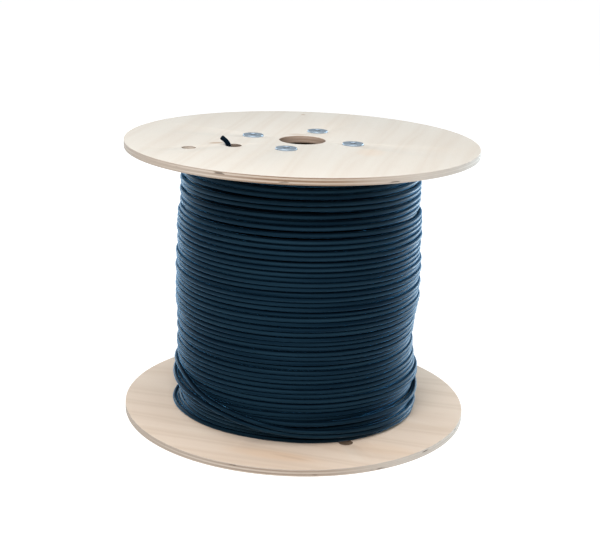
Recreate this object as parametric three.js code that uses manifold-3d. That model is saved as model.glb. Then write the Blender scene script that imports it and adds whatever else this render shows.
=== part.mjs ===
// Spool of solar cable, standing on its lower flange: two plywood flanges are clamped onto a core tube by four
// threaded rods, and the cable is wound between them. Millimetres, +Z along the spool's axis, with the origin at
// the centre of the lower flange's underside. The photo looks along +Y.
import * as THREE from 'three';
import { mergeVertices } from 'three/addons/utils/BufferGeometryUtils.js';
import Module from 'manifold-3d';

const wasm = await Module();
wasm.setup();

// Flanges
const flangeDiameter = 400;
const flangeThickness = 8;
const flangeSpacing = 304;
const arborBoreDiameter = 52;
const cableHoleDiameter = 18;
const cableHoleToCore = 4;
const fixingHoleDiameter = 16;
const fixingHoleFromRim = 61;
const fixingToCableHoleTurn = 3;
const topFixingHoleAngle = -151.5;
const bottomFixingHoleAngle = -65;

// Core tube
const coreDiameter = 150;
const coreWall = 6;

// Threaded rods, and the round-headed nuts on their ends
const rodDiameter = 8;
const rodCount = 4;
const firstRodAngle = -17;
const rodToCoreWall = 10;
const rodEndBelowNut = 0.7;
const nutHeadDiameter = 23.5;
const nutHeadThickness = 2.2;
const nutHeadChamfer = 0.5;
const nutSleeveWall = 1.2;
const nutSleeveLength = 5;
const topNutSeatDepth = 0.6;
const bottomNutSeatDepth = 3;

// Cable: the coil, and the inner end that stands up out of the top flange
const cableDiameter = 5.3;
const bareRim = 59;
const turnSpacing = 5.5;
const turnGroove = 2.2;
const coilSwell = [
  { height: 0, swell: -1 },
  { height: 0.09, swell: 1.5 },
  { height: 0.17, swell: 3 },
  { height: 0.25, swell: -1.5 },
  { height: 0.33, swell: -2 },
  { height: 0.45, swell: 0.5 },
  { height: 0.62, swell: 0.8 },
  { height: 0.76, swell: -1 },
  { height: 0.88, swell: -5 },
  { height: 1, swell: -7.5 },
];
const tailToHoleEdge = 1.5;
const tailRoute = [
  { left: 0, back: 0, up: 0 },
  { left: 0, back: 0, up: 5 },
  { left: 1.2, back: 0.5, up: 9.4 },
  { left: 4.4, back: 2, up: 13 },
  { left: 8.5, back: 4, up: 15.7 },
];

// Clearances between neighbours
const touchGap = 0.3;
const nutSeatClearance = 0.5;

// Facets
const flangeSides = 96;
const coilSides = 48;
const coreSides = 64;
const boreSides = 48;
const holeSides = 24;
const nutSides = 24;
const rodSides = 16;
const tailSides = 12;
const tailSteps = 8;

// Worked out from the sizes above
const flangeRadius = flangeDiameter / 2;
const spoolHeight = flangeSpacing + 2 * flangeThickness;
const coreRadius = coreDiameter / 2;
const coreInnerRadius = coreRadius - coreWall;
const rodCircleRadius = coreInnerRadius - rodToCoreWall;
const cableHoleRadius = coreRadius + cableHoleToCore + cableHoleDiameter / 2;
const coilRadius = flangeRadius - bareRim;
const coilBottom = flangeThickness + touchGap;
const coilTop = flangeThickness + flangeSpacing - touchGap;
const nutSeatDiameter = nutHeadDiameter + 2 * nutSeatClearance;
const nutBoreRadius = rodDiameter / 2 + touchGap;
const nutSleeveRadius = nutBoreRadius + nutSleeveWall;
const nutHoleDiameter = 2 * (nutSleeveRadius + touchGap);
const topNutSeat = spoolHeight - topNutSeatDepth + touchGap;
const bottomNutSeat = bottomNutSeatDepth - touchGap;

const plywood = new THREE.MeshStandardMaterial({ color: 0xe2d3bd, roughness: 0.75, metalness: 0 });
const fibreboard = new THREE.MeshStandardMaterial({ color: 0x9c8468, roughness: 0.9, metalness: 0 });
const zincPlate = new THREE.MeshStandardMaterial({ color: 0xb4bcc4, roughness: 0.4, metalness: 0.9 });
const rodSteel = new THREE.MeshStandardMaterial({ color: 0x8d9298, roughness: 0.45, metalness: 0.9 });
const cableJacket = new THREE.MeshStandardMaterial({ color: 0x14181c, roughness: 0.45, metalness: 0 });

// A point on a circle round the spool's axis, with the angle in degrees.
function polar(radius, angle) {
  const turn = THREE.MathUtils.degToRad(angle);
  return { x: radius * Math.cos(turn), y: radius * Math.sin(turn) };
}

function rodPlaces() {
  return Array.from({ length: rodCount }, (_, i) => polar(rodCircleRadius, firstRodAngle + (i * 360) / rodCount));
}

// The cable hole lies just inside the fixing hole, a few degrees on.
function cableHolePlace(fixingHoleAngle) {
  return polar(cableHoleRadius, fixingHoleAngle + fixingToCableHoleTurn);
}

function named(name, geometry, material) {
  const mesh = new THREE.Mesh(geometry, material);
  mesh.name = name;
  return mesh;
}

// An upright cylinder whose lower end is at the height bottom.
function uprightCylinder(diameter, height, sides, bottom, { x, y } = { x: 0, y: 0 }) {
  const geometry = new THREE.CylinderGeometry(diameter / 2, diameter / 2, height, sides);
  geometry.rotateX(Math.PI / 2);
  geometry.translate(x, y, bottom + height / 2);
  return geometry;
}

// A ring turned about Z from the corners of its section, as [radius, height], in order round the section.
function turnedRing(corners, sides) {
  const section = [...corners, corners[0]].map(([radius, height]) => new THREE.Vector2(radius, height));
  const geometry = new THREE.LatheGeometry(section, sides);
  geometry.rotateX(Math.PI / 2);
  return geometry;
}

function solidFrom(geometry) {
  const bare = geometry.clone();
  bare.deleteAttribute('normal');
  bare.deleteAttribute('uv');
  const merged = mergeVertices(bare, 1e-4);
  const mesh = new wasm.Mesh({
    numProp: 3,
    vertProperties: merged.attributes.position.array,
    triVerts: new Uint32Array(merged.index.array),
  });
  return new wasm.Manifold(mesh);
}

function geometryFrom(solid) {
  const mesh = solid.getMesh();
  const geometry = new THREE.BufferGeometry();
  geometry.setAttribute('position', new THREE.BufferAttribute(new Float32Array(mesh.vertProperties), 3));
  geometry.setIndex(new THREE.BufferAttribute(new Uint32Array(mesh.triVerts), 1));
  geometry.computeVertexNormals();
  return geometry;
}

function cutAway(body, cutters) {
  return geometryFrom(cutters.reduce((rest, cutter) => rest.subtract(solidFrom(cutter)), solidFrom(body)));
}

// A plywood disc whose underside is at the height bottom. The nut heads sit in shallow round seats, which a
// cutter makes that is as tall as the flange is thick and starts at the height seatCut.
function flange(name, bottom, fixingHoleAngle, seatCut) {
  const disc = uprightCylinder(flangeDiameter, flangeThickness, flangeSides, bottom);
  const hole = (diameter, sides, place) => (
    uprightCylinder(diameter, 3 * flangeThickness, sides, bottom - flangeThickness, place)
  );
  const fixingPlace = polar(flangeRadius - fixingHoleFromRim, fixingHoleAngle);
  const cutters = [
    hole(arborBoreDiameter, boreSides),
    hole(cableHoleDiameter, holeSides, cableHolePlace(fixingHoleAngle)),
    hole(fixingHoleDiameter, holeSides, fixingPlace),
    ...rodPlaces().map((place) => hole(nutHoleDiameter, holeSides, place)),
    ...rodPlaces().map((place) => uprightCylinder(nutSeatDiameter, flangeThickness, nutSides, seatCut, place)),
  ];
  return named(name, cutAway(disc, cutters), plywood);
}

function coreTube() {
  const corners = [
    [coreInnerRadius, coilBottom],
    [coreRadius, coilBottom],
    [coreRadius, coilTop],
    [coreInnerRadius, coilTop],
  ];
  return named('core_tube', turnedRing(corners, coreSides), fibreboard);
}

function tieRod(name, place) {
  const bottom = bottomNutSeat - nutHeadThickness + rodEndBelowNut;
  const top = topNutSeat + nutHeadThickness - rodEndBelowNut;
  return named(name, uprightCylinder(rodDiameter, top - bottom, rodSides, bottom, place), rodSteel);
}

// A flat round head with a sleeve under it that reaches into the flange round the rod.
function sleeveNut(name) {
  const headRadius = nutHeadDiameter / 2;
  const corners = [
    [nutBoreRadius, -nutSleeveLength],
    [nutSleeveRadius, -nutSleeveLength],
    [nutSleeveRadius, 0],
    [headRadius, 0],
    [headRadius, nutHeadThickness - nutHeadChamfer],
    [headRadius - nutHeadChamfer, nutHeadThickness],
    [nutBoreRadius, nutHeadThickness],
  ];
  return named(name, turnedRing(corners, nutSides), zincPlate);
}

// A rod with its two nuts, the lower one turned upside down.
function rodWithNuts(place, number) {
  const topNut = sleeveNut(`nut_top_${number}`);
  topNut.position.set(place.x, place.y, topNutSeat);
  const bottomNut = sleeveNut(`nut_bottom_${number}`);
  bottomNut.rotation.x = Math.PI;
  bottomNut.position.set(place.x, place.y, bottomNutSeat);
  return new THREE.Group().add(tieRod(`tie_rod_${number}`, place), topNut, bottomNut);
}

// The coil as one turned solid: its outside swells and draws in along the spool as the wraps lie in the photo,
// and a groove runs round it between each turn of the cable and the next.
function cableWinding() {
  const coilHeight = coilTop - coilBottom;
  const turns = Math.round(coilHeight / turnSpacing);
  const outside = new THREE.SplineCurve(coilSwell.map(({ height, swell }) => (
    new THREE.Vector2(coilRadius + swell, coilBottom + height * coilHeight)
  )));
  const crestsAndGrooves = outside.getSpacedPoints(2 * turns).map(({ x, y }, i) => (
    [i % 2 === 0 ? x - turnGroove : x, y]
  ));
  const boreRadius = coreRadius + touchGap;
  const corners = [[boreRadius, coilBottom], ...crestsAndGrooves, [boreRadius, coilTop]];
  return named('cable_winding', turnedRing(corners, coilSides), cableJacket);
}

// The inner end of the cable comes up at the left side of the cable hole and bends over the flange.
function cableTail() {
  const hole = cableHolePlace(topFixingHoleAngle);
  const shift = (cableHoleDiameter - cableDiameter) / 2 - tailToHoleEdge;
  const route = tailRoute.map(({ left, back, up }) => (
    new THREE.Vector3(hole.x - shift - left, hole.y + back, coilTop + touchGap + up)
  ));
  const section = new THREE.Shape(Array.from({ length: tailSides }, (_, i) => {
    const { x, y } = polar(cableDiameter / 2, (i * 360) / tailSides);
    return new THREE.Vector2(x, y);
  }));
  const geometry = new THREE.ExtrudeGeometry(section, {
    steps: tailSteps,
    bevelEnabled: false,
    extrudePath: new THREE.CatmullRomCurve3(route),
  });
  return named('cable_tail', geometry, cableJacket);
}

const spool = new THREE.Group();
spool.add(
  flange('flange_top', flangeThickness + flangeSpacing, topFixingHoleAngle, spoolHeight - topNutSeatDepth),
  flange('flange_bottom', 0, bottomFixingHoleAngle, bottomNutSeatDepth - flangeThickness),
  coreTube(),
  ...rodPlaces().map((place, i) => rodWithNuts(place, i + 1)),
  cableWinding(),
  cableTail(),
);

export default spool;
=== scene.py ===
import math

import bmesh
import bpy
import numpy as np
from mathutils import Matrix, Vector


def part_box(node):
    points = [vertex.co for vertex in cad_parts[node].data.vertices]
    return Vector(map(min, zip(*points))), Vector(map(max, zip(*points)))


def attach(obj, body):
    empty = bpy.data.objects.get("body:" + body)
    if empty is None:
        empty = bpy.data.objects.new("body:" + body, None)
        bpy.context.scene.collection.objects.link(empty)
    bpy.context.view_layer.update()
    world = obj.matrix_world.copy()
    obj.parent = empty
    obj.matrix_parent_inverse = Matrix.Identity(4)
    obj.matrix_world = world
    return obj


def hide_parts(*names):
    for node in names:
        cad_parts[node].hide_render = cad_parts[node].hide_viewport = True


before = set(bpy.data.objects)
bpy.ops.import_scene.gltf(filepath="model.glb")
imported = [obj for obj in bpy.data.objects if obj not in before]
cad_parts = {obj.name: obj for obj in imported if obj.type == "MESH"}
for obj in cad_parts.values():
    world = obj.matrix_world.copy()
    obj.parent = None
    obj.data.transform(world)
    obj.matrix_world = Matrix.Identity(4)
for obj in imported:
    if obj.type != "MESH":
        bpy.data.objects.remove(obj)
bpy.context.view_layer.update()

# Spool of solar cable on its end: plywood flanges, wound cable, zinc nuts and the inner cable end.
# Metres, +Z along the spool's axis. Angles are in degrees round it, with -90 towards the camera.

MM = 0.001

# Sizes that the solids give
TOP_LOW, TOP_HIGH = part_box("flange_top")
BASE_LOW, BASE_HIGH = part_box("flange_bottom")
COIL_LOW, COIL_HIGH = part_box("cable_winding")
FLANGE_RADIUS = TOP_HIGH[0]

# Sizes of the drilled and turned pieces
ARBOR_BORE_RADIUS = 26 * MM
CABLE_HOLE_RADIUS = 9 * MM
CABLE_HOLE_CIRCLE = 88 * MM
FIXING_HOLE_RADIUS = 8 * MM
FIXING_HOLE_CIRCLE = 139 * MM
TOP_FIXING_ANGLE = -151.5
BASE_FIXING_ANGLE = -65
CABLE_HOLE_TURN = 3
ROD_CIRCLE = 59 * MM
ROD_ANGLES = (-17, 73, 163, 253)
ROD_RADIUS = 4 * MM
NUT_HOLE_RADIUS = 5.8 * MM
NUT_SEAT_RADIUS = 12.25 * MM
TOP_SEAT_DEPTH = 0.6 * MM
BASE_SEAT_DEPTH = 3 * MM
NUT_RADIUS = 11.75 * MM
NUT_THICKNESS = 2.2 * MM
NUT_BORE_RADIUS = 4.3 * MM
NUT_SLEEVE_RADIUS = 5.5 * MM
NUT_SLEEVE_LENGTH = 5 * MM
FLANGE_ROUNDING = 0.5 * MM
HOLE_ROUNDING = 0.3 * MM
CUT_BEYOND = 5 * MM

# Cable and how it is wound
CABLE_RADIUS = 2.65 * MM
CABLE_WIDTH = 2 * CABLE_RADIUS
COIL_BORE_RADIUS = 75.3 * MM
TURN_STEPS = 120
BACK_ANGLE = 90
TIGHT_PITCH = 5.4 * MM
LOOSE_PITCH = 6.5 * MM
LOOSE_FROM = 190 * MM
LOOSE_TO = 240 * MM
LAYER_STEP = 4.7 * MM
CROSSING_SHARE = 0.25
COIL_BODY_RADIUS = 124 * MM

# How unevenly it is wound: how far the turns wander up and down and in and out, and the seeds of their chance
PITCH_SPREAD = (0.96, 1.06)
TIGHT_WANDER = 0.7 * MM
LOOSE_WANDER = 1.5 * MM
CLOSEST_SHARE = 0.985
SETTLING_ROUNDS = 80
RADIAL_WANDER = 1.2 * MM
PROUD_FROM = 0.45
PROUD_RISE = 1.8 * MM
SUNK_FROM = 0.3
SUNK_DEPTH = 3.5 * MM
LAYER_SEED = 11
UNDER_LAYER_SEED = 29
WANDER_SEED = 5
PROUD_SEED = 23
SUNK_SEED = 41

# The coil's outside: its radius at some heights
COIL_OUTLINE_HEIGHTS = np.array([8, 60, 78, 95, 139, 187, 236, 260, 285, 304]) * MM
COIL_OUTLINE_RADII = np.array([140, 141, 139.8, 138.6, 141.4, 141.4, 139.6, 137.4, 135.8, 132.5]) * MM

# Places where the turns bulge or sink in: angle, height, half width in degrees, half height, and how far
SWELLS = (
    (-5, 55 * MM, 30, 11 * MM, 3 * MM),
    (-5, 47 * MM, 25, 4 * MM, -3 * MM),
    (-5, 14 * MM, 35, 8 * MM, -2.5 * MM),
    (-5, 105 * MM, 30, 20 * MM, -3 * MM),
    (-105, 12 * MM, 32, 9 * MM, -7 * MM),
    (-38, 35 * MM, 26, 9 * MM, -3.5 * MM),
    (-142, 57 * MM, 24, 7 * MM, -2.5 * MM),
    (-168, 24 * MM, 24, 9 * MM, -4.5 * MM),
    (-180, 55 * MM, 28, 16 * MM, -3 * MM),
    (-174, 11 * MM, 22, 3.5 * MM, 5 * MM),
)

# Loose wraps over the lowest turns, from the first laid to the last: the angles along each, and the heights
# in millimetres
LOOSE_WRAPS = {
    "wrap_under": ((-125, 36), (-105, 36), (-91, 35.5), (-68, 34.8), (-48, 34.4), (-27, 33), (-12, 34),
                   (0, 37), (15, 41), (40, 45), (75, 46)),
    "wrap_low": ((-240, 50), (-200, 48), (-172, 46), (-152, 43.5), (-136, 40.5), (-122, 35), (-108, 28),
                 (-98, 24), (-85, 20.5), (-70, 18), (-40, 14.5), (-15, 12), (10, 12), (60, 14)),
    "wrap_high": ((-290, 22), (-260, 36), (-230, 47), (-205, 54), (-190, 58), (-178, 61), (-167, 62),
                  (-160, 60.5), (-154, 58.5), (-148, 55.5), (-143, 52), (-136, 48), (-130, 45), (-120, 40),
                  (-110, 36), (-102, 31.5), (-93, 28), (-87, 26.4), (-74, 24.6), (-58, 22.2), (-48, 21.2),
                  (-27, 19.5), (-15, 17.5), (0, 16.8), (20, 18), (60, 24)),
}
DIVE_STEPS = 12
DIVE_DEPTH = 8 * MM

# Facets, and the angle in degrees up to which edges are shaded smooth
FLANGE_SIDES = 192
HOLE_SIDES = 48
NUT_SIDES = 64
ROD_SIDES = 32
COIL_BODY_SIDES = 96
TURN_SIDES = 12
UNDER_TURN_SIDES = 8
WRAP_SIDES = 14
TAIL_SIDES = 24
WIRE_SIDES = 10
SMOOTH_CABLE = 60
SMOOTH_BOARD = 35

# Grain of the boards, where their plies meet as shares of the thickness, and the marks in their veneer:
# place, half sizes, turn, colour and strength
TOP_GRAIN = 80
BASE_GRAIN = -14
PLY_LINES = (0.17, 0.4, 0.63, 0.86)
GLUE_SHARE = 0.02
WOOD_BROWN = (0.52, 0.35, 0.22)
KNOT_BROWN = (0.42, 0.25, 0.13)
PALE_ORANGE = (0.85, 0.55, 0.32)
TOP_MARKS = (
    ((-0.095, -0.034), (0.012, 0.006), 25, KNOT_BROWN, 0.6),
    ((-0.006, 0.034), (0.016, 0.008), 0, KNOT_BROWN, 0.3),
    ((0.075, -0.06), (0.03, 0.02), 80, PALE_ORANGE, 0.15),
    ((0.0, 0.175), (0.004, 0.005), 0, KNOT_BROWN, 0.5),
)
BASE_MARKS = (
    ((-0.02, -0.165), (0.07, 0.016), -14, PALE_ORANGE, 0.3),
    ((0.0, -0.17), (0.03, 0.004), -20, KNOT_BROWN, 0.2),
    ((0.1, -0.14), (0.05, 0.02), -14, PALE_ORANGE, 0.15),
)

# The cable end that stands out of the top flange: the points that it follows, in millimetres
TAIL_ROUTE = (
    (-79.88, -45.98, 306),
    (-79.88, -45.98, 312),
    (-79.88, -45.98, 317),
    (-81.08, -45.48, 321.4),
    (-84.28, -43.98, 325),
    (-88.38, -41.98, 327.7),
)
TAIL_CURVE_STEPS = 8
INSULATION_RADIUS = 1.85 * MM
INSULATION_SHOWS = 0.15 * MM
INSULATION_INSIDE = 2 * MM
WIRE_RADIUS = 0.22 * MM
WIRE_SPACING = 2.15 * WIRE_RADIUS
WIRE_SHOWS = 0.3 * MM
WIRE_INSIDE = 1 * MM
TOWARDS_CAMERA = (0.0, -1.0, 0.0)

# The photo's camera
CAMERA_PLACE = (0, -1.398, 0.5784)
CAMERA_PITCH = 16.71
CAMERA_YAW = 0.1
CAMERA_ROLL = 1.95
CAMERA_LENS = 75.19
CAMERA_SENSOR = 36
CAMERA_REACH = 100

# Studio: the floor and the world, and the place, aim, size, power and colour of each light
FLOOR_HALF = 20
FLOOR_GAP = 0.2 * MM
FLOOR_GREY = 0.35
FLOOR_GLOW = 0.94
WORLD_GLOW = 0.18
WHITE = (1, 1, 1)
SIDE_BLUE = (0.7, 0.88, 1)
SPOOL_MIDDLE = (0, 0, 0.16)
LIGHTS = {
    "top": ((0, -0.3, 1.9), (0, 0, 0.2), (1.6, 1.6), 17, WHITE),
    "front": ((-0.4, -1.8, 1.8), SPOOL_MIDDLE, (1.6, 0.8), 40, WHITE),
    "left": ((-1.2, 1.4, 0.35), SPOOL_MIDDLE, (1.0, 0.7), 20, SIDE_BLUE),
    "right": ((1.3, 1.1, 0.22), SPOOL_MIDDLE, (1.0, 0.45), 34, SIDE_BLUE),
}

# Numbers that belong to Blender: the sockets of its mix node for colours, and its wave texture's period
MIX_FACTOR = 0
MIX_FIRST = 6
MIX_SECOND = 7
WAVE_PERIOD = 0.314


# Camera

def make_camera():
    """A camera that looks along +Y and down, turned a little about its own line of sight."""
    pitch, yaw, roll = (math.radians(a) for a in (CAMERA_PITCH, CAMERA_YAW, CAMERA_ROLL))
    forward = Vector((
        math.sin(yaw) * math.cos(pitch),
        math.cos(yaw) * math.cos(pitch),
        -math.sin(pitch),
    ))
    level_right = forward.cross(Vector((0, 0, 1))).normalized()
    level_up = level_right.cross(forward)
    right = math.cos(roll) * level_right + math.sin(roll) * level_up
    up = -math.sin(roll) * level_right + math.cos(roll) * level_up
    turn = Matrix((right, up, -forward)).transposed().to_4x4()
    data = bpy.data.cameras.new("camera")
    data.lens = CAMERA_LENS
    data.sensor_width = CAMERA_SENSOR
    data.clip_end = CAMERA_REACH
    camera = bpy.data.objects.new("camera", data)
    camera.matrix_world = Matrix.Translation(CAMERA_PLACE) @ turn
    bpy.context.collection.objects.link(camera)
    bpy.context.scene.camera = camera


# Materials

class Look:
    """A material with a Principled shader, and short calls for the nodes behind it."""

    def __init__(self, name, **values):
        self.material = bpy.data.materials.new(name)
        self.material.use_nodes = True
        self.tree = self.material.node_tree
        self.shader = self.tree.nodes["Principled BSDF"]
        for key, value in values.items():
            self.shader.inputs[key.replace("_", " ")].default_value = value
        self.place = self.node("ShaderNodeTexCoord").outputs["Object"]

    def node(self, kind, inputs=None, **settings):
        made = self.tree.nodes.new(kind)
        for key, value in settings.items():
            setattr(made, key, value)
        for key, value in (inputs or {}).items():
            if isinstance(value, bpy.types.NodeSocket):
                self.tree.links.new(value, made.inputs[key])
            else:
                made.inputs[key].default_value = value
        return made

    def stretched(self, scale, turn=0, vector=None):
        """The place turned about the axis by -turn degrees, then scaled along each direction."""
        turned = self.node("ShaderNodeMapping", {
            "Vector": vector or self.place,
            "Rotation": (0, 0, -math.radians(turn)),
        })
        return self.node("ShaderNodeMapping", {"Vector": turned.outputs[0], "Scale": scale}).outputs[0]

    def noise(self, vector, scale=1, detail=3, roughness=0.5):
        values = {"Vector": vector, "Scale": scale, "Detail": detail, "Roughness": roughness}
        return self.node("ShaderNodeTexNoise", values).outputs["Fac"]

    def wave(self, vector, scale=1, distortion=0, detail=2, **settings):
        values = {"Vector": vector, "Scale": scale, "Distortion": distortion, "Detail": detail}
        return self.node("ShaderNodeTexWave", values, **settings).outputs["Fac"]

    def math(self, operation, first, second=0.0):
        return self.node("ShaderNodeMath", {0: first, 1: second}, operation=operation).outputs[0]

    def share(self, value, low, high):
        """How far the value lies on the way from low to high, from 0 to 1."""
        values = {"Value": value, "From Min": low, "From Max": high}
        return self.node("ShaderNodeMapRange", values).outputs[0]

    def length(self, vector):
        return self.node("ShaderNodeVectorMath", {0: vector}, operation="LENGTH").outputs["Value"]

    def ramp(self, factor, *stops, kind="LINEAR"):
        """Colours or numbers by factor: each stop is a position and a grey or a colour."""
        made = self.node("ShaderNodeValToRGB", {"Fac": factor})
        made.color_ramp.interpolation = kind
        elements = made.color_ramp.elements
        while len(elements) < len(stops):
            elements.new(0.5)
        for element, (position, colour) in zip(elements, stops):
            element.position = position
            rgb = (colour,) * 3 if isinstance(colour, (int, float)) else colour
            element.color = (*rgb, 1)
        return made.outputs["Color"]

    def mix(self, factor, first, second):
        """The first colour where the factor is 0 and the second where it is 1."""
        made = self.node("ShaderNodeMix", {MIX_FACTOR: factor}, data_type="RGBA")
        for socket, colour in ((MIX_FIRST, first), (MIX_SECOND, second)):
            if isinstance(colour, bpy.types.NodeSocket):
                self.tree.links.new(colour, made.inputs[socket])
            else:
                made.inputs[socket].default_value = (*colour, 1)
        return made.outputs[2]

    def spot(self, centre, size, turn=0):
        """1 in the middle of a soft oval on the face of a board, falling to 0 at its edge."""
        moved = self.node("ShaderNodeVectorMath", {0: self.place, 1: (*centre, 0)}, operation="SUBTRACT")
        squeezed = self.stretched((1 / size[0], 1 / size[1], 0), turn, moved.outputs[0])
        return self.ramp(self.length(squeezed), (0.3, 1.0), (1.0, 0.0), kind="EASE")

    def finish(self, colour, roughness, height, depth, strength=1.0):
        """Joins a colour, a roughness and a bump of that depth to the shader."""
        bump = self.node("ShaderNodeBump", {"Height": height, "Distance": depth, "Strength": strength})
        self.tree.links.new(colour, self.shader.inputs["Base Color"])
        self.tree.links.new(roughness, self.shader.inputs["Roughness"])
        self.tree.links.new(bump.outputs["Normal"], self.shader.inputs["Normal"])
        return self.material


def veneer(name, grain, pale, dark, flame, marks):
    """The face of a plywood board, with its grain at that angle from +X. Flame is how plainly its growth
    rings show."""
    look = Look(name, Specular_IOR_Level=0.3)
    streaks = look.noise(look.stretched((3, 110, 3), grain), detail=4, roughness=0.55)
    figure = look.wave(look.stretched((0.9, 7, 1), grain), distortion=11, detail=3, bands_direction="Y")
    pores = look.noise(look.stretched((90, 2600, 90), grain), detail=2)
    clouds = look.noise(look.stretched((5, 11, 5), grain))
    colour = look.mix(look.ramp(clouds, (0.3, 0.0), (0.7, 0.6)), pale, dark)
    colour = look.mix(look.ramp(streaks, (0.35, 0.0), (0.75, 0.45)), colour, dark)
    colour = look.mix(look.ramp(figure, (0.35, 0.0), (0.9, flame), (1.0, 0.4 * flame)), colour, WOOD_BROWN)
    colour = look.mix(look.ramp(pores, (0.62, 0.0), (0.78, 0.25)), colour, WOOD_BROWN)
    for centre, size, turn, tint, amount in marks:
        mask = look.math("MULTIPLY", look.spot(centre, size, turn), amount)
        colour = look.mix(mask, colour, tint)
    height = look.math("ADD", streaks, look.math("MULTIPLY", pores, 0.5))
    roughness = look.ramp(streaks, (0.2, 0.62), (0.8, 0.78))
    return look.finish(colour, roughness, height, 0.12 * MM)


def ply_layers(look, height, bottom, top):
    """1 on the plies whose grain runs crosswise, and 1 on the lines of glue where the plies meet."""
    line_wander = 0.07
    wander = look.math("MULTIPLY", look.noise(look.stretched((12, 12, 2)), detail=2), line_wander)
    share = look.math("SUBTRACT", look.share(height, bottom, top), line_wander / 2)
    share = look.math("ADD", share, wander)
    plies = [(line, float(i % 2 == 0)) for i, line in enumerate(PLY_LINES)]
    crossed = look.ramp(share, (0.0, 0.0), *plies, kind="CONSTANT")
    glue_line = ((-GLUE_SHARE, 0.0), (0, 1.0), (GLUE_SHARE, 0.0))
    glue = look.ramp(share, *((line + shift, amount) for line in PLY_LINES for shift, amount in glue_line))
    return crossed, glue


def end_grain_share(look, crossed, grain):
    """1 where a ply is cut across its grain and 0 where it is cut along it, by the way the edge faces."""
    normal = look.node("ShaderNodeNewGeometry").outputs["Normal"]
    facing = look.node("ShaderNodeVectorMath", {0: normal, 1: polar(1, grain)}, operation="DOT_PRODUCT")
    end_on = look.math("POWER", look.math("ABSOLUTE", facing.outputs["Value"]), 2.0)
    return look.mix(crossed, look.ramp(end_on, (0, 0.0), (1, 1.0)), look.ramp(end_on, (0, 1.0), (1, 0.0)))


def painted_hole_shade_and_bore_light(look, colour, hole_shade):
    """The colour of an edge, with painted shade in the drilled holes and the nuts' seats, as dark in the
    fixing hole as the last argument says, and painted light on the wall of the arbor bore.
    """
    from_axis = look.length(look.stretched((1, 1, 0)))
    # Painted shade: the walls of the drilled holes and the nuts' seats are darkened.
    painted_hole_shade = look.ramp(from_axis, (0.03, 0.0), (0.07, 0.7), (0.1, 0.7),
                         (0.12, hole_shade), (0.15, hole_shade), (0.19, 0.0))
    # Painted light: the wall of the arbor bore is painted paler.
    painted_bore_light = look.ramp(from_axis, (0.027, 0.65), (0.03, 0.0))
    colour = look.mix(painted_hole_shade, colour, (0.12, 0.075, 0.045))
    return look.mix(painted_bore_light, colour, (0.55, 0.4, 0.31))


def ply_edge(name, bottom, top, grain, hole_shade, painted_front_light):
    """The edge of a plywood board: five plies with glue between them, and a few dark voids.
    The fifth argument is how dark the fixing hole is painted, as painted shade, and the last is how pale the
    middle of the rim's front is painted, as painted light."""
    look = Look(name, Specular_IOR_Level=0.2)
    parts = look.node("ShaderNodeSeparateXYZ", {"Vector": look.place}).outputs
    crossed, glue = ply_layers(look, parts["Z"], bottom, top)
    fibres = look.noise(look.stretched((60, 60, 900)), detail=4, roughness=0.7)
    specks = look.noise(look.stretched((700, 700, 500)), roughness=0.6)
    long_grain = look.mix(fibres, (0.55, 0.45, 0.37), (0.4, 0.32, 0.25))
    end_grain = look.mix(specks, (0.29, 0.19, 0.125), (0.18, 0.115, 0.075))
    colour = look.mix(end_grain_share(look, crossed, grain), long_grain, end_grain)
    # Painted light: the rim is painted paler towards both sides and most towards the right, and its middle by
    # the last argument.
    across = look.share(parts["X"], -FLANGE_RADIUS, FLANGE_RADIUS)
    painted_rim_light = look.ramp(across, (0.25, 0.3), (0.42, painted_front_light), (0.6, painted_front_light), (0.8, 0.65))
    colour = look.mix(painted_rim_light, colour, (0.7, 0.66, 0.6))
    colour = look.mix(look.math("MULTIPLY", glue, 0.45), colour, (0.2, 0.13, 0.08))
    gaps = look.noise(look.stretched((35, 35, 260)), detail=2)
    voids = look.math("MULTIPLY", look.ramp(gaps, (0.68, 0.0), (0.72, 1.0)), crossed)
    colour = look.mix(look.math("MULTIPLY", voids, 0.75), colour, (0.07, 0.045, 0.03))
    height = look.math("SUBTRACT", look.math("ADD", fibres, specks), voids)
    roughness = look.ramp(fibres, (0.3, 0.75), (0.8, 0.9))
    return look.finish(painted_hole_shade_and_bore_light(look, colour, hole_shade), roughness, height, 0.15 * MM)


def jacket():
    """Matt black cable jacket, blue on its outer side and a little different from turn to turn, with painted
    shade darkening its inner side between the turns.
    """
    look = Look(
        "jacket",
        Specular_IOR_Level=0.08,
        Specular_Tint=(0.22, 0.6, 1, 1),
        Sheen_Weight=0.7,
        Sheen_Roughness=0.3,
        Sheen_Tint=(0.16, 0.54, 1, 1),
    )
    turns = look.noise(look.stretched((6, 6, 260)), detail=2)
    dust = look.noise(look.stretched((400, 400, 900)), detail=4, roughness=0.7)
    scuffs = look.noise(look.stretched((40, 40, 700)), roughness=0.6)
    outside = look.node("ShaderNodeAttribute", attribute_name="outside").outputs["Fac"]
    turn_tone = look.mix(look.ramp(turns, (0.3, 0.0), (0.7, 1.0)), (0.002, 0.009, 0.018), (0.01, 0.028, 0.044))
    # Painted shade: the inner side of each turn, down between the turns, is darkened to near black. Pieces
    # without the attribute, the cable end and the coil body, take this dark colour all over.
    colour = look.mix(look.ramp(outside, (0.5, 0.0), (0.95, 1.0)), (0.0005, 0.002, 0.005), turn_tone)
    colour = look.mix(look.ramp(dust, (0.66, 0.0), (0.85, 0.15)), colour, (0.05, 0.08, 0.1))
    roughness = look.ramp(scuffs, (0.3, 0.4), (0.7, 0.56))
    height = look.math("ADD", dust, scuffs)
    return look.finish(colour, roughness, height, 0.04 * MM, 0.4)


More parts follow.
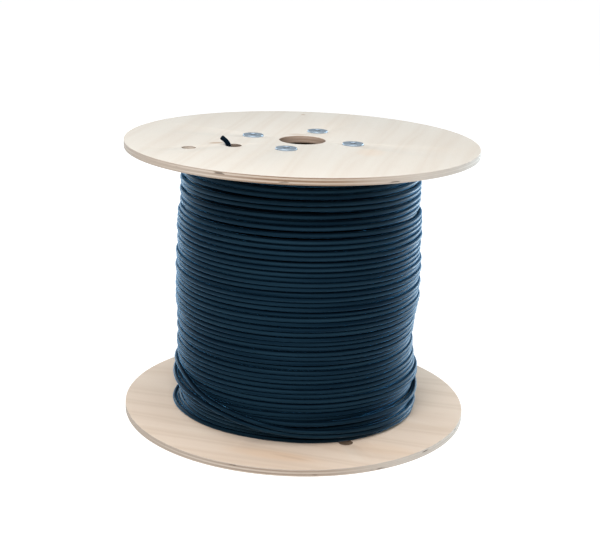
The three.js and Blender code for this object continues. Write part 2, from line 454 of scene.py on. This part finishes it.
def zinc(name, tone, roughness_low, roughness_high):
    """Blue-passivated zinc plate, clouded and finely grained."""
    look = Look(name, Metallic=0.7)
    clouds = look.noise(look.place, scale=140, detail=4, roughness=0.6)
    grain = look.noise(look.place, scale=1800, roughness=0.6)
    colour = look.mix(look.ramp(clouds, (0.3, 0.0), (0.7, 1.0)), tone, tuple(0.82 * c for c in tone))
    colour = look.mix(look.ramp(clouds, (0.6, 0.0), (0.8, 0.3)), colour, (0.62, 0.6, 0.5))
    roughness = look.ramp(grain, (0.25, roughness_low), (0.75, roughness_high))
    return look.finish(colour, roughness, look.math("ADD", grain, clouds), 0.06 * MM, 0.5)


def threaded_steel():
    """Zinc-plated threaded rod: the thread is a fine wave along it, with painted shade darkening its grooves.
    """
    pitch = 1.25 * MM
    look = Look("rod_thread", Metallic=0.9)
    thread = look.wave(look.place, scale=WAVE_PERIOD / pitch, bands_direction="Z")
    clouds = look.noise(look.place, scale=300, roughness=0.6)
    colour = look.mix(look.ramp(clouds, (0.3, 0.0), (0.7, 1.0)), (0.34, 0.35, 0.37), (0.22, 0.23, 0.25))
    # Painted shade: the grooves of the thread are darkened.
    colour = look.mix(look.ramp(thread, (0.0, 0.6), (0.45, 0.0)), colour, (0.06, 0.06, 0.06))
    return look.finish(colour, look.ramp(clouds, (0.3, 0.35), (0.7, 0.55)), thread, 0.4 * MM)


def wound_paper():
    """Core tube of brown paper, wound in a rising spiral of broad strips."""
    strip_width = 85 * MM
    look = Look("wound_paper", Specular_IOR_Level=0.2)
    fibres = look.noise(look.stretched((300, 300, 90)), detail=4, roughness=0.7)
    seams = look.wave(look.stretched((0.35, 0.35, 1)), scale=WAVE_PERIOD / strip_width,
                      bands_direction="DIAGONAL")
    colour = look.mix(fibres, (0.36, 0.25, 0.15), (0.24, 0.16, 0.09))
    colour = look.mix(look.ramp(seams, (0.0, 0.8), (0.04, 0.0)), colour, (0.1, 0.06, 0.035))
    return look.finish(colour, look.ramp(fibres, (0.3, 0.8), (0.7, 0.95)), fibres, 0.2 * MM)


def insulation():
    """White insulation, a little clouded."""
    look = Look("insulation", Specular_IOR_Level=0.4)
    clouds = look.noise(look.place, scale=900, roughness=0.6)
    colour = look.mix(clouds, (0.75, 0.74, 0.7), (0.6, 0.58, 0.54))
    return look.finish(colour, look.ramp(clouds, (0.3, 0.5), (0.7, 0.65)), clouds, 0.05 * MM)


def tinned_copper():
    """Tinned copper wire."""
    look = Look("tinned_copper", Metallic=1.0)
    clouds = look.noise(look.place, scale=2500, detail=2)
    colour = look.mix(clouds, (0.75, 0.74, 0.72), (0.5, 0.45, 0.4))
    return look.finish(colour, look.ramp(clouds, (0.3, 0.25), (0.7, 0.4)), clouds, 0.02 * MM)


# Meshes

def polar(radius, angle):
    """The point at that radius and angle round the spool's axis."""
    return Vector((radius * math.cos(math.radians(angle)), radius * math.sin(math.radians(angle)), 0))


def add_object(name, mesh, *materials):
    piece = bpy.data.objects.new(name, mesh)
    bpy.context.collection.objects.link(piece)
    for material in materials:
        mesh.materials.append(material)
    return piece


def part_of_spool(piece, slot, *nodes):
    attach(piece, "root")
    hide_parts(*nodes)


def smooth_up_to(mesh, angle):
    """Smooth shading, except across edges that are sharper than the angle."""
    mesh.shade_smooth()
    mesh.set_sharp_from_angle(angle=math.radians(angle))


def turned_mesh(name, outline, sides, centre=(0, 0, 0)):
    """A solid turned about Z from the radii and heights of its closed outline."""
    bm = bmesh.new()
    rings = []
    for side in range(sides):
        turn = 2 * math.pi * side / sides
        rings.append([
            bm.verts.new((
                centre[0] + radius * math.cos(turn),
                centre[1] + radius * math.sin(turn),
                centre[2] + height,
            ))
            for radius, height in outline
        ])
    count = len(outline)
    for ring, following in zip(rings, rings[1:] + rings[:1]):
        for i in range(count):
            after = (i + 1) % count
            bm.faces.new((ring[i], ring[after], following[after], following[i]))
    bmesh.ops.remove_doubles(bm, verts=bm.verts, dist=1e-6)
    bmesh.ops.dissolve_degenerate(bm, edges=bm.edges, dist=1e-7)
    bmesh.ops.recalc_face_normals(bm, faces=bm.faces)
    mesh = bpy.data.meshes.new(name)
    bm.to_mesh(mesh)
    bm.free()
    return mesh


def rounded(corners, radius, steps=3):
    """The outline with each corner that is given a rounding cut into a short arc."""
    outline = []
    count = len(corners)
    for i, (r, h, is_round) in enumerate(corners):
        here = Vector((r, h))
        if not is_round:
            outline.append((r, h))
            continue
        before = (Vector(corners[i - 1][:2]) - here).normalized() * radius
        after = (Vector(corners[(i + 1) % count][:2]) - here).normalized() * radius
        for step in range(steps + 1):
            turn = math.pi / 2 * step / steps
            point = here + before * (1 - math.sin(turn)) + after * (1 - math.cos(turn))
            outline.append(tuple(point))
    return outline


def tube_mesh(name, points, outward, radius, sides):
    """A round tube along the points, whose sections are set out from the outward directions."""
    tangents = np.gradient(points, axis=0)
    tangents /= np.linalg.norm(tangents, axis=1)[:, None]
    normals = outward - (outward * tangents).sum(axis=1)[:, None] * tangents
    normals /= np.linalg.norm(normals, axis=1)[:, None]
    sideways = np.cross(tangents, normals)
    turns = 2 * math.pi * np.arange(sides) / sides
    ring = (np.cos(turns)[None, :, None] * normals[:, None, :]
            + np.sin(turns)[None, :, None] * sideways[:, None, :])
    vertices = (points[:, None, :] + radius * ring).reshape(-1, 3)
    here = np.arange(len(points) - 1)[:, None] * sides
    side = np.arange(sides)[None, :]
    after = (side + 1) % sides
    quads = np.stack((here + side, here + after, here + sides + after, here + sides + side), axis=-1)
    faces = quads.reshape(-1, 4).tolist()
    faces.append(list(range(sides))[::-1])
    faces.append([len(vertices) - sides + i for i in range(sides)])
    mesh = bpy.data.meshes.new(name)
    mesh.from_pydata(vertices.tolist(), [], faces)
    smooth_up_to(mesh, SMOOTH_CABLE)
    return mesh


# Cable winding

def eased(share):
    """A share between 0 and 1 that starts and ends gently."""
    return share * share * (3 - 2 * share)


def smooth_noise(count, spacing, seed):
    """A wandering line between -1 and 1: random values every so many steps, joined smoothly."""
    values = np.random.default_rng(seed).uniform(-1, 1, count // spacing + 2)
    at = np.arange(count) / spacing
    left = at.astype(int)
    blend = eased(at - left)
    return values[left] * (1 - blend) + values[left + 1] * blend


def blurred(line, steps):
    """A running mean over that many steps to each side."""
    padded = np.pad(line, steps, mode="edge")
    return np.convolve(padded, np.ones(2 * steps + 1) / (2 * steps + 1), mode="valid")


def step_angles(steps):
    """The angle at each step along the cable: it rises as it runs clockwise, seen from above."""
    return BACK_ANGLE - 360 * steps / TURN_STEPS


def looseness(heights):
    """How loosely the turns lie, from 0 in the lower part to 1 near the top."""
    return np.clip((heights - LOOSE_FROM) / (LOOSE_TO - LOOSE_FROM), 0, 1)


def coil_radius(angles, heights):
    """The radius to the middle of the outermost cable."""
    radius = np.interp(heights, COIL_OUTLINE_HEIGHTS, COIL_OUTLINE_RADII) - CABLE_RADIUS
    for angle, height, half_width, half_height, amount in SWELLS:
        off = (angles - angle + 180) % 360 - 180
        radius = radius + amount * np.exp(-(off / half_width) ** 2 - ((heights - height) / half_height) ** 2)
    return radius


def turn_levels(lowest, highest, seed):
    """The height at which each turn starts, from the lowest up."""
    rng = np.random.default_rng(seed)
    levels = [lowest]
    while levels[-1] < highest:
        pitch = TIGHT_PITCH + (LOOSE_PITCH - TIGHT_PITCH) * looseness(levels[-1])
        levels.append(levels[-1] + pitch * rng.uniform(*PITCH_SPREAD))
    return np.array(levels)


def layer_heights(seed):
    """Heights along one wound layer. Each turn lies level and crosses over to the next on the far left.
    Turns wander, but never closer together than the cable is thick."""
    lowest = COIL_LOW[2] + CABLE_RADIUS
    highest = COIL_HIGH[2] - CABLE_RADIUS
    levels = turn_levels(lowest, highest, seed + 1)
    steps = np.arange((len(levels) - 1) * TURN_STEPS + 1)
    turn = np.minimum(steps // TURN_STEPS, len(levels) - 2)
    share = np.clip((steps / TURN_STEPS - turn - 1) / CROSSING_SHARE + 1, 0, 1)
    heights = levels[turn] + (levels[turn + 1] - levels[turn]) * eased(share)
    wander = smooth_noise(len(steps), TURN_STEPS // 4, seed)
    heights = heights + wander * (TIGHT_WANDER + LOOSE_WANDER * looseness(heights))
    for _ in range(SETTLING_ROUNDS):
        apart = heights[TURN_STEPS:] - heights[:-TURN_STEPS]
        short = np.clip(CLOSEST_SHARE * CABLE_WIDTH - apart, 0, None) / 2
        heights[TURN_STEPS:] += short
        heights[:-TURN_STEPS] -= short
        heights = np.clip(heights, lowest, highest)
    return blurred(heights, 3)


def main_layer():
    """Angles, heights and radii along the layer that shows."""
    heights = layer_heights(LAYER_SEED)
    angles = step_angles(np.arange(len(heights)))
    wander = smooth_noise(len(heights), TURN_STEPS // 3, WANDER_SEED)
    proud = np.clip(smooth_noise(len(heights), TURN_STEPS // 2, PROUD_SEED) - PROUD_FROM, 0, None)
    sunk = np.clip(smooth_noise(len(heights), TURN_STEPS // 2, SUNK_SEED) - SUNK_FROM, 0, None)
    offset = RADIAL_WANDER * wander + PROUD_RISE * proud * (1 + looseness(heights)) - SUNK_DEPTH * sunk
    return angles, heights, coil_radius(angles, heights) + offset - end_dive(len(heights))


def end_dive(count):
    """How far a cable of that many steps sinks in at each, so that its ends are hidden between the turns."""
    to_end = np.minimum(np.arange(count), np.arange(count)[::-1])
    return DIVE_DEPTH * eased(np.clip(1 - to_end / DIVE_STEPS, 0, 1))


def cable_points(angles, heights, radii):
    """The points along a wound cable, and the direction away from the spool's axis at each."""
    turns = np.radians(angles)
    outward = np.stack((np.cos(turns), np.sin(turns), np.zeros_like(turns)), axis=1)
    points = outward * radii[:, None]
    points[:, 2] = heights
    return points, outward


def by_angle(heights, radii, first_step):
    """Heights and radii set out in rows of one turn each, with an absent place far below the coil."""
    absent = -1.0
    rows = (first_step + len(heights)) // TURN_STEPS + 1
    table = np.full((2, rows * TURN_STEPS), absent)
    table[0, first_step:first_step + len(heights)] = heights
    table[1, first_step:first_step + len(heights)] = radii
    return table.reshape(2, rows, TURN_STEPS)


def lying_on(heights, columns, laid):
    """The radius at which a cable at those heights touches the highest of the turns that are laid there."""
    apart = heights[None, :] - laid[0][:, columns]
    lift = np.sqrt(np.clip(CABLE_WIDTH ** 2 - apart ** 2, 0, None))
    resting = np.where(np.abs(apart) < CABLE_WIDTH, laid[1][:, columns] + lift, 0)
    return resting.max(axis=0)


def loose_wrap(route, laid):
    """The first step of a wrap that lies over the turns and dives between them at its ends, and the angles,
    heights and radii along it."""
    reach = 2
    route_angles = np.array([angle for angle, _ in route], float)
    route_heights = np.array([height for _, height in route]) * MM
    first = math.ceil((BACK_ANGLE - route_angles[-1]) / 360 * TURN_STEPS)
    last = math.floor((BACK_ANGLE - route_angles[0]) / 360 * TURN_STEPS)
    steps = np.arange(first, last + 1)
    angles = step_angles(steps)
    heights = blurred(np.interp(angles, route_angles, route_heights), reach)
    resting = lying_on(heights, steps % TURN_STEPS, laid)
    crest = np.max([np.roll(resting, shift) for shift in range(-reach, reach + 1)], axis=0)
    radii = blurred(crest, reach + 1)
    return first, angles, heights, radii - end_dive(len(steps))


def wound_piece(name, angles, heights, radii, sides, material):
    """A wound stretch of cable. Its attribute "outside" is 1 along its outer side and -1 along its inner, and
    the jacket paints shade by it.
    """
    points, outward = cable_points(angles, heights, radii)
    mesh = tube_mesh(name, points, outward, CABLE_RADIUS, sides)
    facing = np.tile(np.cos(2 * math.pi * np.arange(sides) / sides), len(points))
    mesh.attributes.new("outside", "FLOAT", "POINT").data.foreach_set("value", facing)
    return add_object(name, mesh, material)


def make_winding(material):
    angles, heights, radii = main_layer()
    pieces = [
        wound_piece("cable_turns", angles, heights, radii, TURN_SIDES, material),
        make_under_layer(material),
    ]
    laid = by_angle(heights, radii, 0)
    for name, route in LOOSE_WRAPS.items():
        first, angles, heights, radii = loose_wrap(route, laid)
        pieces.append(wound_piece(name, angles, heights, radii, WRAP_SIDES, material))
        laid = np.concatenate((laid, by_angle(heights, radii, first)), axis=1)
    pieces.append(make_coil_body(material))
    for piece in pieces:
        part_of_spool(piece, "cable_jacket", "cable_winding")


def make_under_layer(material):
    """The layer below, which shows between turns that lie apart. It takes every second step."""
    heights = layer_heights(UNDER_LAYER_SEED)[::2]
    angles = step_angles(2 * np.arange(len(heights))) + 180
    radii = coil_radius(angles, heights) - LAYER_STEP
    return wound_piece("cable_under", angles, heights, radii, UNDER_TURN_SIDES, material)


def make_coil_body(material):
    """The layers inside, with the ridges of their last turns on both ends of the coil."""
    depth = COIL_BODY_RADIUS - COIL_BORE_RADIUS
    layers = round(depth / LAYER_STEP)
    layer_points = 6
    ridges = []
    for i in range(layers * layer_points + 1):
        radius = COIL_BORE_RADIUS + depth / layers * i / layer_points
        share = (i % layer_points) / layer_points
        ridges.append((radius, CABLE_RADIUS * (1 - math.sin(math.pi * share))))
    outline = [(radius, COIL_LOW[2] + sunk) for radius, sunk in ridges]
    outline += [(radius, COIL_HIGH[2] - sunk) for radius, sunk in reversed(ridges)]
    mesh = turned_mesh("coil_body", outline, COIL_BODY_SIDES)
    smooth_up_to(mesh, SMOOTH_CABLE)
    return add_object("coil_body", mesh, material)


# Cable end

def curve_through(points, steps):
    """Points on a smooth curve through the given ones."""
    ends = [2 * points[0] - points[1], *points, 2 * points[-1] - points[-2]]
    curve = []
    for before, start, end, after in zip(ends, ends[1:], ends[2:], ends[3:]):
        for t in np.arange(steps) / steps:
            curve.append(0.5 * (2 * start + (end - before) * t
                                + (2 * before - 5 * start + 4 * end - after) * t ** 2
                                + (3 * start - before - 3 * end + after) * t ** 3))
    curve.append(points[-1])
    return np.array(curve)


def make_tail(jacket_material):
    """The inner end of the cable, cut square: jacket, insulation and bunched wires."""
    route = [np.array(point) * MM for point in TAIL_ROUTE]
    points = curve_through(route, TAIL_CURVE_STEPS)
    jacket_piece = tail_tube("tail_jacket", points, CABLE_RADIUS, TAIL_SIDES, jacket_material)
    part_of_spool(jacket_piece, "cable_jacket", "cable_tail")
    tip = points[-1]
    along = points[-1] - points[-2]
    along /= np.linalg.norm(along)
    stub = np.array([tip - INSULATION_INSIDE * along, tip, tip + INSULATION_SHOWS * along])
    insulation_piece = tail_tube("tail_insulation", stub, INSULATION_RADIUS, TAIL_SIDES, insulation())
    part_of_spool(insulation_piece, "cable_jacket", "cable_tail")
    make_wires(tip, along)


def tail_tube(name, points, radius, sides, material):
    """A tube along the points, with one line of its corners turned towards the camera."""
    outward = np.tile(TOWARDS_CAMERA, (len(points), 1))
    return add_object(name, tube_mesh(name, points, outward, radius, sides), material)


def make_wires(tip, along):
    """Nineteen wires: one in the middle, six round it and twelve round those."""
    side = np.cross(along, TOWARDS_CAMERA)
    side /= np.linalg.norm(side)
    other = np.cross(along, side)
    metal = tinned_copper()
    number = 0
    for ring, count in ((0, 1), (1, 6), (2, 12)):
        for i in range(count):
            turn = 2 * math.pi * i / count
            shift = WIRE_SPACING * ring * (math.cos(turn) * side + math.sin(turn) * other)
            points = np.array([tip - WIRE_INSIDE * along, tip, tip + WIRE_SHOWS * along]) + shift
            number += 1
            wire = tail_tube(f"tail_wire_{number}", points, WIRE_RADIUS, WIRE_SIDES, metal)
            part_of_spool(wire, "zinc_steel", "cable_tail")


# Flanges

def apply_modifiers(piece):
    """Makes what the piece's modifiers do part of its mesh."""
    graph = bpy.context.evaluated_depsgraph_get()
    graph.update()
    mesh = bpy.data.meshes.new_from_object(piece.evaluated_get(graph))
    piece.modifiers.clear()
    piece.data = mesh


def hole_cutter(radius, low, high, centre):
    """An upright cylinder between two heights."""
    return turned_mesh("cutter", [(0, low), (radius, low), (radius, high), (0, high)], HOLE_SIDES, centre)


def cutters_mesh(low, high, seat_low, seat_high, fixing_angle):
    """All that is cut out of a flange except the arbor bore, as one mesh."""
    through = (low - CUT_BEYOND, high + CUT_BEYOND)
    meshes = [
        hole_cutter(CABLE_HOLE_RADIUS, *through, polar(CABLE_HOLE_CIRCLE, fixing_angle + CABLE_HOLE_TURN)),
        hole_cutter(FIXING_HOLE_RADIUS, *through, polar(FIXING_HOLE_CIRCLE, fixing_angle)),
    ]
    for angle in ROD_ANGLES:
        place = polar(ROD_CIRCLE, angle)
        if seat_high > high:
            outline = [(0, through[0]), (NUT_HOLE_RADIUS, through[0]), (NUT_HOLE_RADIUS, seat_low),
                       (NUT_SEAT_RADIUS, seat_low), (NUT_SEAT_RADIUS, seat_high), (0, seat_high)]
        else:
            outline = [(0, seat_low), (NUT_SEAT_RADIUS, seat_low), (NUT_SEAT_RADIUS, seat_high),
                       (NUT_HOLE_RADIUS, seat_high), (NUT_HOLE_RADIUS, through[1]), (0, through[1])]
        meshes.append(turned_mesh("cutter", outline, HOLE_SIDES, place))
    bm = bmesh.new()
    for mesh in meshes:
        bm.from_mesh(mesh)
    joined = bpy.data.meshes.new("cutters")
    bm.to_mesh(joined)
    bm.free()
    return joined


def make_flange(node, low, high, seat, fixing_angle, face_material, edge_material):
    """A drilled board between two heights, with the nuts' seats cut out between the two heights of seat."""
    bevel_angle = 50
    facing_up = 0.8
    corners = [
        (ARBOR_BORE_RADIUS, low, True),
        (FLANGE_RADIUS, low, True),
        (FLANGE_RADIUS, high, True),
        (ARBOR_BORE_RADIUS, high, True),
    ]
    name = node + "_board"
    mesh = turned_mesh(name, rounded(corners, FLANGE_ROUNDING), FLANGE_SIDES)
    board = add_object(name, mesh, face_material, edge_material)
    tool = add_object("tool", cutters_mesh(low, high, *seat, fixing_angle))
    cut = board.modifiers.new("cut", "BOOLEAN")
    cut.object = tool
    cut.solver = "EXACT"
    ease = board.modifiers.new("ease", "BEVEL")
    ease.width = HOLE_ROUNDING
    ease.segments = 2
    ease.angle_limit = math.radians(bevel_angle)
    apply_modifiers(board)
    bpy.data.objects.remove(tool)
    for face in board.data.polygons:
        face.material_index = 0 if abs(face.normal.z) > facing_up else 1
    smooth_up_to(board.data, SMOOTH_BOARD)
    part_of_spool(board, "plywood", node)


def make_flanges():
    # The top board's veneer is paler and greyer than the base board's: partly two sheets of a different tone,
    # partly painted light for the brighter light on top of the spool.
    top_face = veneer("veneer_top", TOP_GRAIN, (0.80, 0.76, 0.69), (0.75, 0.69, 0.61), 0.1, TOP_MARKS)
    base_face = veneer("veneer_base", BASE_GRAIN, (0.84, 0.69, 0.56), (0.78, 0.61, 0.48), 0.2, BASE_MARKS)
    top_edge = ply_edge("ply_edge_top", TOP_LOW[2], TOP_HIGH[2], TOP_GRAIN, 0.0, 0.0)
    base_edge = ply_edge("ply_edge_base", BASE_LOW[2], BASE_HIGH[2], BASE_GRAIN, 0.9, 0.2)
    top_seat = (TOP_HIGH[2] - TOP_SEAT_DEPTH, TOP_HIGH[2] + CUT_BEYOND)
    base_seat = (BASE_LOW[2] - CUT_BEYOND, BASE_LOW[2] + BASE_SEAT_DEPTH)
    make_flange("flange_top", TOP_LOW[2], TOP_HIGH[2], top_seat, TOP_FIXING_ANGLE, top_face, top_edge)
    make_flange("flange_bottom", BASE_LOW[2], BASE_HIGH[2], base_seat, BASE_FIXING_ANGLE,
                base_face, base_edge)


# Rods and nuts

def nut_outline(seat, up):
    """A flat round head on a sleeve; up is 1 for a nut on top of the spool and -1 for one under it."""
    rounding = 0.45 * MM
    rim_drop = 0.25 * MM
    bore_chamfer = 0.4 * MM
    corners = [
        (NUT_BORE_RADIUS, -NUT_SLEEVE_LENGTH, False),
        (NUT_SLEEVE_RADIUS, -NUT_SLEEVE_LENGTH, False),
        (NUT_SLEEVE_RADIUS, 0, False),
        (NUT_RADIUS, 0, False),
        (NUT_RADIUS, NUT_THICKNESS - rim_drop, True),
        (NUT_BORE_RADIUS + bore_chamfer, NUT_THICKNESS, False),
        (NUT_BORE_RADIUS, NUT_THICKNESS - bore_chamfer, False),
    ]
    return [(radius, seat + up * height) for radius, height in rounded(corners, rounding)]


def make_nuts_and_rods():
    plate = zinc("zinc_plate", (0.52, 0.64, 0.76), 0.36, 0.55)
    thread = threaded_steel()
    for number, angle in enumerate(ROD_ANGLES, 1):
        place = polar(ROD_CIRCLE, angle)
        for node, up in ((f"nut_top_{number}", 1), (f"nut_bottom_{number}", -1)):
            low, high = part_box(node)
            seat = high[2] - NUT_THICKNESS if up > 0 else low[2] + NUT_THICKNESS
            mesh = turned_mesh(node + "_head", nut_outline(seat, up), NUT_SIDES, place)
            smooth_up_to(mesh, SMOOTH_BOARD)
            part_of_spool(add_object(node + "_head", mesh, plate), "zinc_steel", node)
        make_rod(f"tie_rod_{number}", place, thread)


def make_rod(node, place, material):
    """A rod with chamfered ends and a small hollow in the middle of each."""
    low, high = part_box(node)
    chamfer = 0.8 * MM
    hollow_radius = 1.5 * MM
    hollow_floor_radius = 1.2 * MM
    hollow_depth = 1.4 * MM
    upper = [
        (ROD_RADIUS, high[2] - chamfer),
        (ROD_RADIUS - chamfer, high[2]),
        (hollow_radius, high[2]),
        (hollow_floor_radius, high[2] - hollow_depth),
        (0, high[2] - hollow_depth),
    ]
    lower = [(radius, low[2] + high[2] - height) for radius, height in reversed(upper)]
    mesh = turned_mesh(node + "_thread", upper + lower, ROD_SIDES, place)
    smooth_up_to(mesh, SMOOTH_BOARD)
    part_of_spool(add_object(node + "_thread", mesh, material), "rod_steel", node)


def finish_core():
    """The core tube is shown as it is, with its own material."""
    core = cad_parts["core_tube"]
    core.data.materials.clear()
    core.data.materials.append(wound_paper())


# Studio

def make_floor():
    """A wide white floor, which glows so that it is as white as the background."""
    corners = [(x * FLOOR_HALF, y * FLOOR_HALF, 0) for x, y in ((-1, -1), (1, -1), (1, 1), (-1, 1))]
    mesh = bpy.data.meshes.new("floor")
    mesh.from_pydata(corners, [], [(0, 1, 2, 3)])
    look = Look(
        "floor_white",
        Base_Color=(FLOOR_GREY, FLOOR_GREY, FLOOR_GREY, 1),
        Roughness=0.9,
        Specular_IOR_Level=0,
        Emission_Color=(*WHITE, 1),
        Emission_Strength=FLOOR_GLOW,
    )
    floor = add_object("floor", mesh, look.material)
    floor.location.z = BASE_LOW[2] - FLOOR_GAP


def area_light(name, place, aim, size, power, colour):
    data = bpy.data.lights.new(name, "AREA")
    data.color = colour
    data.shape = "RECTANGLE"
    data.size, data.size_y = size
    data.energy = power
    lamp = bpy.data.objects.new(name, data)
    lamp.location = place
    lamp.rotation_euler = (Vector(aim) - Vector(place)).to_track_quat("-Z", "Y").to_euler()
    lamp.visible_camera = False
    bpy.context.collection.objects.link(lamp)


def make_lights():
    world = bpy.data.worlds.new("studio")
    world.use_nodes = True
    background = world.node_tree.nodes["Background"]
    background.inputs["Color"].default_value = (*WHITE, 1)
    background.inputs["Strength"].default_value = WORLD_GLOW
    bpy.context.scene.world = world
    for name, settings in LIGHTS.items():
        area_light(name, *settings)
    bpy.context.scene.view_settings.view_transform = "Standard"


make_camera()
black_jacket = jacket()
make_tail(black_jacket)
make_winding(black_jacket)
make_flanges()
make_nuts_and_rods()
finish_core()
make_floor()
make_lights()
